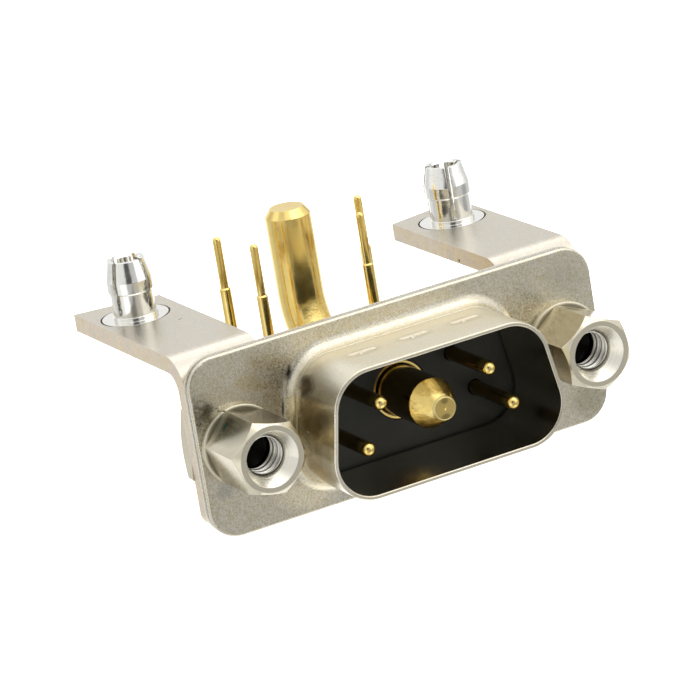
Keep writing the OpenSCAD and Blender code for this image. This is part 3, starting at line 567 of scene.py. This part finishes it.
# Tin on the board locks: tones over its waves, and its pits
TIN_TONES = ((0.3, (0.93, 0.92, 0.87)), (0.7, (0.97, 0.965, 0.92)))
TIN_PIT_START = 0.66
TIN_PIT_FULL = 0.74
TIN_PIT_TONE = (0.52, 0.50, 0.44)


def bright_tin():
    """Bright plate on the split board locks: nearly a mirror, with soft waves."""
    made = Finish("bright_tin", {"Metallic": 1.0})
    made.round_edges(0.05)
    waves = made.grain(1.8, detail=3, rough=0.5)
    fine = made.grain(9, detail=3, rough=0.55)
    tone = made.ramp(waves, *TIN_TONES)
    tone = made.blend(made.fade(fine, TIN_PIT_START, TIN_PIT_FULL), tone, TIN_PIT_TONE)
    rough = made.plus(made.spread(waves, 0.09, 0.15), made.spread(fine, -0.015, 0.03))
    made.emboss(waves, 0.012)
    made.emboss(fine, 0.001)
    return made.finish(tone, rough)


# Gold on the contacts: tones over its waves, and its pits
GOLD_TONES = ((0.3, (0.90, 0.67, 0.215)), (0.7, (0.96, 0.75, 0.285)))
GOLD_PIT_START = 0.68
GOLD_PIT_FULL = 0.76
GOLD_PIT_TONE = (0.70, 0.50, 0.17)
# The thick tail's bend, where the plating is wrinkled
BEND_CENTRE = (0.25, -2.0, -3.3)
BEND_SIZE = (1.7, 1.7, 1.9)
BEND_RAGGED = 0.5
BEND_ROUGHER = 0.05
# The power pin's cone, and its shoulder below the insulator's face
CONE_LENGTH = 1.85
CONE_END = NOSE + CONE_LENGTH
SHOULDER_DEPTH = 0.1
SHOULDER_FACE = INSULATOR_FACE + SHOULDER_DEPTH
SHOULDER_RADIUS = 2.0
# The cone's finish: its border at the cone's end, its start behind the nose, and the radii past it and in it
CONE_BORDER = 0.1
CONE_NOSE_CLEAR = 0.05
CONE_NOSE_FULL = 0.15
CONE_CLEAR = 2.0
CONE_INSIDE = 1.9
# slope of the forward flanks of the marks along the cone
CONE_FLANK = 0.27
# Painted shade on the pins behind their tips: the length in which that comes on, where it ends behind the
# insulator's face, and how much of the cone's finish there is where it is clear and where it is dark
SHAFT_RUN = 0.7
SHAFT_FADE = 2.2
SHAFT_END = 3.2
SHAFT_CONE_CLEAR = 0.6
SHAFT_CONE_DARK = 0.1
SHAFT_SHARE = 0.8
SHAFT_SHADE_TONE = (0.16, 0.09, 0.025)
# A brim on the shoulder that the painted shade leaves bright: bright and clear of it at these distances from
# the shoulder's radius
BRIM_BRIGHT = 0.15
BRIM_END = 0.21
# Painted shade in the relief inside that brim, clear and full at these distances: inwards from the
# shoulder's radius, in front of the shoulder's face and behind it
RELIEF_CLEAR = 0.17
RELIEF_FULL = 0.21
RELIEF_FRONT_CLEAR = 0.25
RELIEF_FRONT_FULL = 0.1
RELIEF_BACK_CLEAR = 1.0
RELIEF_BACK_FULL = 0.8
RELIEF_SHADE_TONE = (0.012, 0.010, 0.006)
# The nose: how far its end reaches back, its flat end's radius and painted shade, and the edge round that
# with its painted highlight
NOSE_CLEAR = 0.12
NOSE_FULL = 0.06
NOSE_FLAT = 0.72
NOSE_FLAT_BORDER = 0.04
NOSE_FLAT_SHADE_TONE = (0.72, 0.70, 0.66)
NOSE_EDGE_HIGHLIGHT = (1.0, 0.84, 0.38)
NOSE_EDGE_ROUGH = 0.38
NOSE_EDGE_FLANK = 0.3
# Darker marks on the flat end: centre and reach
NOSE_MARKS = (((0.05, NOSE, -5.75), (0.45, 0.3, 0.35)), ((-0.05, NOSE, -6.85), (0.5, 0.3, 0.35)))
NOSE_MARK_FINENESS = 3
NOSE_MARK_TONE = (0.50, 0.52, 0.55)


def contact_gold():
    """Hard gold over turned contacts; the thick tail's plating is wrinkled on the inside of its bend."""
    made = Finish("contact_gold", {"Metallic": 1.0})
    made.round_edges(0.03)
    waves = made.grain(1.5, detail=3, rough=0.55)
    fine = made.grain(10, detail=3, rough=0.6)
    drawn_lines = made.grain(5, detail=3, rough=0.5, stretch=(1, 1, 8))
    wrinkles = made.grain(6.5, detail=4, rough=0.65, swirl=0.4)
    streaks = made.grain(2.4, detail=2, rough=0.45, stretch=(1, 5, 1))
    bend = made.smudge(BEND_CENTRE, BEND_SIZE, ragged=BEND_RAGGED)
    place = made.parts()
    radius = made.from_axis(place["X"], made.less(place["Z"], AXIS_Z))
    before_end = made.fade(place["Y"], CONE_END + CONE_BORDER, CONE_END - CONE_BORDER)
    on_pin = made.fade(radius, CONE_CLEAR, CONE_INSIDE)
    behind_nose = made.fade(place["Y"], NOSE + CONE_NOSE_CLEAR, NOSE + CONE_NOSE_FULL)
    cone = made.times(before_end, on_pin, behind_nose)
    nose_end = made.fade(place["Y"], NOSE + NOSE_CLEAR, NOSE + NOSE_FULL)
    nose_edge = made.times(nose_end, made.fade(radius, NOSE_FLAT, NOSE_FLAT + NOSE_FLAT_BORDER))
    flat_end = made.less(nose_end, nose_edge)

    tone = made.ramp(waves, *GOLD_TONES)
    tone = made.blend(made.fade(fine, GOLD_PIT_START, GOLD_PIT_FULL), tone, GOLD_PIT_TONE)
    behind_tips = made.fade(place["Y"], CONE_END - SHAFT_RUN, CONE_END)
    in_front = made.fade(place["Y"], INSULATOR_FACE + SHAFT_END, INSULATOR_FACE + SHAFT_FADE)
    off_brim = made.fade(made.size(made.less(radius, SHOULDER_RADIUS)), BRIM_BRIGHT, BRIM_END)
    off_cone = made.fade(cone, SHAFT_CONE_CLEAR, SHAFT_CONE_DARK)
    # painted shade on the pins' shafts behind their tips
    shaft_shade = made.times(behind_tips, in_front, off_brim, off_cone)
    tone = made.blend(made.times(shaft_shade, SHAFT_SHARE), tone, SHAFT_SHADE_TONE)
    in_brim = made.fade(radius, SHOULDER_RADIUS - RELIEF_CLEAR, SHOULDER_RADIUS - RELIEF_FULL)
    depth = made.less(place["Y"], SHOULDER_FACE)
    relief_front = made.fade(depth, -RELIEF_FRONT_CLEAR, -RELIEF_FRONT_FULL)
    relief_back = made.fade(depth, RELIEF_BACK_CLEAR, RELIEF_BACK_FULL)
    # painted shade in the relief round the power pin
    tone = made.blend(made.times(in_brim, relief_front, relief_back), tone, RELIEF_SHADE_TONE)
    # painted shade on the flat end and a painted highlight on the edge round it
    tone = made.blend(flat_end, tone, NOSE_FLAT_SHADE_TONE, "MULTIPLY")
    tone = made.blend(nose_edge, tone, NOSE_EDGE_HIGHLIGHT)
    for centre, reach in NOSE_MARKS:
        darker_mark = made.times(flat_end, made.smudge(centre, reach, fineness=NOSE_MARK_FINENESS))
        tone = made.blend(darker_mark, tone, NOSE_MARK_TONE, "MULTIPLY")

    rough = made.plus(made.spread(waves, 0.15, 0.22), made.spread(fine, -0.02, 0.03))
    rough = made.plus(rough, made.times(bend, BEND_ROUGHER))
    rough = made.between(cone, rough, made.spread(streaks, 0.15, 0.24))
    rough = made.between(nose_edge, rough, NOSE_EDGE_ROUGH)
    made.emboss(waves, 0.006)
    made.emboss(drawn_lines, 0.002)
    made.emboss(wrinkles, 0.06, bend)
    made.emboss(streaks, 0.05, cone)
    made.emboss(place["Y"], CONE_FLANK, cone)
    made.emboss(made.less(NOSE_FLAT, radius), NOSE_EDGE_FLANK, nose_edge)
    return made.finish(tone, rough)


# Tones of the black moulding and of the bronze
BLACK_TONES = ((0.3, (0.0155, 0.0168, 0.0132)), (0.7, (0.0205, 0.022, 0.018)))
BRONZE_TONES = ((0.3, (0.55, 0.36, 0.18)), (0.7, (0.66, 0.45, 0.24)))


def insulator_black():
    """Black glass-filled moulding with a faint satin grain."""
    made = Finish("insulator_black", {"Specular IOR Level": 0.4})
    made.round_edges(0.04)
    grain = made.grain(9, detail=3, rough=0.6)
    clouds = made.grain(0.6, detail=2, rough=0.5)
    made.emboss(grain, 0.005)
    return made.finish(made.ramp(clouds, *BLACK_TONES), made.spread(grain, 0.38, 0.52))


def spring_bronze():
    """Bare bronze of the hidden clip, with an even grain."""
    made = Finish("spring_bronze", {"Metallic": 1.0})
    made.round_edges(0.03)
    grain = made.grain(6, detail=3, rough=0.5)
    made.emboss(grain, 0.003)
    return made.finish(made.ramp(grain, *BRONZE_TONES), made.spread(grain, 0.22, 0.36))


finishes = {
    "nickel_shell": shell_nickel(),
    "nickel_bracket": bracket_nickel(),
    "nickel_hardware": hardware_nickel(),
    "bright_tin": bright_tin(),
    "gold_contact": contact_gold(),
    "spring_bronze": spring_bronze(),
    "black_insulator": insulator_black(),
}
node_slots = {part["node"]: part["material_slot"] for part in frame["record"]["subparts"]}
for name, slot in node_slots.items():
    node = frame["nodes"][name]
    node.data.materials.clear()
    node.data.materials.append(finishes[slot])


# Threads in the jackscrew holes and on the studs behind the nuts

THREAD_PITCH = 0.635
# steps in one turn of a ridge
THREAD_STEPS = 48
# half widths of a ridge at its foot and at its crest
RIDGE_FOOT = 0.305
HOLE_FLAT = 0.25
STUD_FLAT = 0.05
# how far a ridge reaches into the wall that carries it
WALL_HIDE = 0.03
STUD_RADIUS = 1.2
STUD_CREST = 1.4
STUD_BEVEL = 0.25
NUT_BORE = 1.25
SINK_SLOPE = (SINK_RADIUS - SCREW_RADIUS) / (SINK_END - HEX_FACE)


def piece(name, bm, slot):
    """Makes a mesh a piece of the connector, with the finish of a slot."""
    bmesh.ops.recalc_face_normals(bm, faces=bm.faces)
    mesh = bpy.data.meshes.new(name)
    bm.to_mesh(mesh)
    bm.free()
    mesh.materials.append(finishes[slot])
    for face in mesh.polygons:
        face.use_smooth = True
    made = bpy.data.objects.new(name, mesh)
    bpy.context.scene.collection.objects.link(made)
    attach(made, "root")


def thread_ridge(centre, first, last, root, crest, flat, keep):
    """Winds a ridge round an axis along Y; keep(depth) gives the radius range that the ridge stays in."""
    bm = bmesh.new()
    corners = ((root, -RIDGE_FOOT), (crest, -flat), (crest, flat), (root, RIDGE_FOOT))
    turns = (last - first) / THREAD_PITCH
    steps = round(turns * THREAD_STEPS)
    rings = []
    for step in range(steps + 1):
        share = step / steps
        angle = share * turns * math.tau
        ring = []
        for radius, along in corners:
            depth = first + along + share * (last - first)
            low, high = keep(depth)
            spoke = min(max(radius, low), high)
            place = Vector((centre.x + spoke * math.cos(angle), depth, centre.z - spoke * math.sin(angle)))
            ring.append(bm.verts.new(place * MM))
        rings.append(ring)
    for ring, following in zip(rings, rings[1:]):
        for i, k in ((0, 1), (1, 2), (2, 3), (3, 0)):
            bm.faces.new((ring[k], following[k], following[i], ring[i]))
    bm.faces.new(rings[0])
    bm.faces.new(rings[-1])
    return bm


def in_hole(depth):
    """Keeps the thread behind the countersink's cone, with a bevelled start."""
    cone = SCREW_RADIUS + max(SINK_END - depth, 0) * SINK_SLOPE
    return max(cone + WALL_HIDE - max(depth - SINK_END, 0), 0), math.inf


def on_stud(depth):
    """Keeps the thread inside the nut's bore and under the bevel of the stud's end."""
    bevel = STUD_RADIUS - STUD_BEVEL + max(STUD_END - depth, 0) + WALL_HIDE
    return 0, NUT_BORE - WALL_HIDE if depth < NUT_BACK else min(STUD_CREST, bevel)


for side, sign in (("left", -1), ("right", 1)):
    centre = Vector((sign * SCREW_HOLE.x, 0, AXIS_Z))
    ridge = thread_ridge(
        centre, SINK_END - THREAD_PITCH, HOLE_END - THREAD_PITCH / 2,
        SCREW_RADIUS + WALL_HIDE, HOLE_CREST, HOLE_FLAT, in_hole,
    )
    piece(f"hole_thread_{side}", ridge, "nickel_hardware")
    ridge = thread_ridge(
        centre, NUT_BACK - THREAD_PITCH / 2, STUD_END - RIDGE_FOOT,
        STUD_RADIUS - WALL_HIDE, STUD_CREST, STUD_FLAT, on_stud,
    )
    piece(f"stud_thread_{side}", ridge, "nickel_hardware")


# Stage: a pale floor and a light tent

FLOOR_SIZE = 3000
PAPER_TONES = ((0.3, 0.9), (0.7, 0.92))
PAPER = {"Specular IOR Level": 0.1, "Emission Color": (1, 1, 1, 1), "Emission Strength": 1.0}


def floor():
    """Pale paper under the connector. The metal doesn't mirror it: the tent below is what shows there."""
    bm = bmesh.new()
    bmesh.ops.create_grid(bm, x_segments=1, y_segments=1, size=FLOOR_SIZE / 2 * MM)
    bmesh.ops.translate(bm, verts=bm.verts, vec=(0, 0, FRONT_SHELL[0].z * MM))
    mesh = bpy.data.meshes.new("floor")
    bm.to_mesh(mesh)
    bm.free()
    made = bpy.data.objects.new("floor", mesh)
    bpy.context.scene.collection.objects.link(made)
    paper = Finish("pale_paper", PAPER)
    fibre = paper.grain(0.4, detail=3, rough=0.6)
    mesh.materials.append(paper.finish(paper.ramp(fibre, *PAPER_TONES), paper.spread(fibre, 0.8, 0.95)))
    made.visible_glossy = False
    made.visible_shadow = False


# Light tent round the connector: each row of panels has its lower edge in degrees of elevation, the azimuth
# of its first panel and the panels' radiance, at equal steps round the axis; azimuth 0 is the mating side
TENT = (
    (-90, -145, (0.35, 0.6, 0.45, 0.9, 0.5, 0.9)),
    (-40, -175, (0.82, 0.5, 0.4, 0.55, 0.8, 0.32, 0.24, 0.38, 0.25, 0.4, 0.7, 1.15)),
    (0, -175, (0.7, 0.45, 0.6, 0.55, 0.52, 0.06, 0.36, 0.85, 0.75, 0.65, 0.4, 0.58)),
    (37, -160, (0.7, 0.8, 0.5, 0.75, 1.4, 1.25, 1.0, 1.4)),
    (67, 0, (1.0,)),
)
# a run of tones ends at 1, so the panels are divided by the gain there and the light is raised by it again
TENT_GAIN = 2.5
TENT_STRENGTH = 1.5
# half the width of the soft border between two panels, in degrees
TENT_BORDER = 4


def light_tent():
    """Lights the connector by direction: each row is a run of tones round the axis, blended by height."""
    world = bpy.data.worlds.new("light_tent")
    world.use_nodes = True
    tree = world.node_tree
    bpy.context.scene.world = world

    def node(kind, *inputs, **settings):
        made = tree.nodes.new(kind)
        for name, value in settings.items():
            setattr(made, name, value)
        for socket, value in zip(made.inputs, inputs):
            if isinstance(value, bpy.types.NodeSocket):
                tree.links.new(value, socket)
            else:
                socket.default_value = value
        return made.outputs

    way = node("ShaderNodeSeparateXYZ", node("ShaderNodeTexCoord")["Generated"])
    depth = node("ShaderNodeMath", way["Y"], -1.0, operation="MULTIPLY")[0]
    azimuth = node("ShaderNodeMath", way["X"], depth, operation="ARCTAN2")[0]
    round_axis = node("ShaderNodeMapRange", azimuth, -math.pi, math.pi, 0.0, 1.0)["Result"]
    height = node("ShaderNodeMath", way["Z"], operation="ARCSINE")[0]
    light = None
    for lower_edge, first, panels in TENT:
        step = 360 / len(panels)
        reach = step / 2 - TENT_BORDER
        stops = []
        for turn in range(-1, len(panels) + 1):
            middle = first + turn * step
            if middle + reach > -180 and middle - reach < 180:
                tone = panels[turn % len(panels)] / TENT_GAIN
                stops += [(max(middle - reach, -180), tone), (min(middle + reach, 180), tone)]
        made = tree.nodes.new("ShaderNodeValToRGB")
        tree.links.new(round_axis, made.inputs["Fac"])
        marks = made.color_ramp.elements
        while len(marks) < len(stops):
            marks.new(1.0)
        for mark, (angle, tone) in zip(marks, stops):
            mark.position = (angle + 180) / 360
            mark.color = (tone, tone, tone, 1)
        row = made.outputs["Color"]
        if light:
            edge = [math.radians(lower_edge + border) for border in (-TENT_BORDER, TENT_BORDER)]
            share = node("ShaderNodeMapRange", height, *edge)["Result"]
            mix = tree.nodes.new("ShaderNodeMix")
            mix.data_type = "RGBA"
            for socket, value in ((0, share), (6, light), (7, row)):
                tree.links.new(value, mix.inputs[socket])
            row = mix.outputs[2]
        light = row
    background = tree.nodes["Background"]
    tree.links.new(light, background.inputs["Color"])
    background.inputs["Strength"].default_value = TENT_GAIN * TENT_STRENGTH


floor()
light_tent()
bpy.context.scene.view_settings.view_transform = "Standard"


# Camera at the photograph's angle

# the point it looks at, its angles in degrees, its distance, and its lens and sensor
VIEW_CENTRE = Vector((-2.37, -11.42, -3.125))
CAMERA_AZIMUTH = -25.145
CAMERA_ELEVATION = 17.091
CAMERA_ROLL = 9.562
CAMERA_DISTANCE = 301.637
CAMERA_LENS = 231.43
SENSOR = 36
# what lies nearer to the camera than this isn't drawn
NEAREST = 10

camera = bpy.data.objects.new("camera", bpy.data.cameras.new("camera"))
camera.data.lens = CAMERA_LENS
camera.data.sensor_width = SENSOR
camera.data.clip_start = NEAREST * MM
tilt = Matrix.Rotation(math.radians(90 - CAMERA_ELEVATION), 4, "X")
turn = Matrix.Rotation(math.radians(CAMERA_AZIMUTH), 4, "Z") @ tilt
away = Matrix.Translation((0, 0, CAMERA_DISTANCE * MM))
roll = Matrix.Rotation(math.radians(-CAMERA_ROLL), 4, "Z")
camera.matrix_world = Matrix.Translation(VIEW_CENTRE * MM) @ turn @ away @ roll
bpy.context.scene.collection.objects.link(camera)
bpy.context.scene.camera = camera
